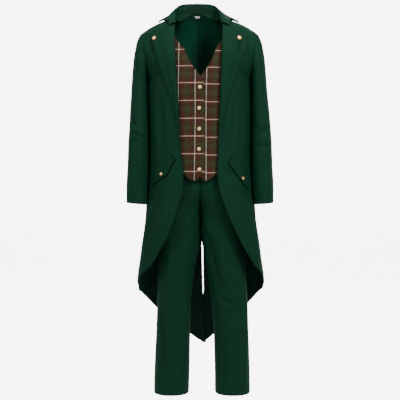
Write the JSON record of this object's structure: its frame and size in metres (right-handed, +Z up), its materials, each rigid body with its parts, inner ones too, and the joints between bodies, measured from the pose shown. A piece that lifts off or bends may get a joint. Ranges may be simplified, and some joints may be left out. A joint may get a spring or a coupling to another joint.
{
  "type": "historic tailcoat costume",
  "caption": "Hollow worn costume: open tailcoat with wide lapels and long tails, plaid waistcoat and straight trousers, in the pose of a standing wearer.",
  "frame": {"origin": "the middle of the neck's base, where the wearer's neck and shoulders hold the set", "axes": "+Z up, +X to the wearer's left, -Y to the front"},
  "size_m": [0.5524, 0.2886, 1.485],
  "materials": {
    "green_twill": "matte twill with a soft sheen",
    "green_lining_cloth": "matte plain cloth",
    "plaid_cloth": "matte woven plaid of brown, green and dark red with thin white lines",
    "gold_metal": "brushed gold-coloured metal with a raised rim",
    "label_tape": "bare woven tape"
  },
  "bodies": {
    "root": {"coat_back_left": "green_twill", "coat_back_right": "green_twill", "coat_collar": "green_twill", "coat_flap_left": "green_twill", "coat_flap_right": "green_twill", "coat_front_left": "green_twill", "coat_front_right": "green_twill", "coat_lapel_left": "green_twill", "coat_lapel_right": "green_twill", "coat_sleeve_left": "green_twill", "coat_sleeve_right": "green_twill", "flap_button_left": "gold_metal", "flap_button_right": "gold_metal", "lapel_button_left": "gold_metal", "lapel_button_right": "gold_metal", "neck_label": "label_tape", "trouser_back_left": "green_twill", "trouser_back_right": "green_twill", "trouser_front_left": "green_twill", "trouser_front_right": "green_twill", "trouser_waistband": "green_twill", "waistcoat_back_left": "green_lining_cloth", "waistcoat_back_right": "green_lining_cloth", "waistcoat_button_1": "gold_metal", "waistcoat_button_2": "gold_metal", "waistcoat_button_3": "gold_metal", "waistcoat_button_4": "gold_metal", "waistcoat_button_5": "gold_metal", "waistcoat_front_left": "plaid_cloth", "waistcoat_front_right": "plaid_cloth"}
  },
  "joints": []
}
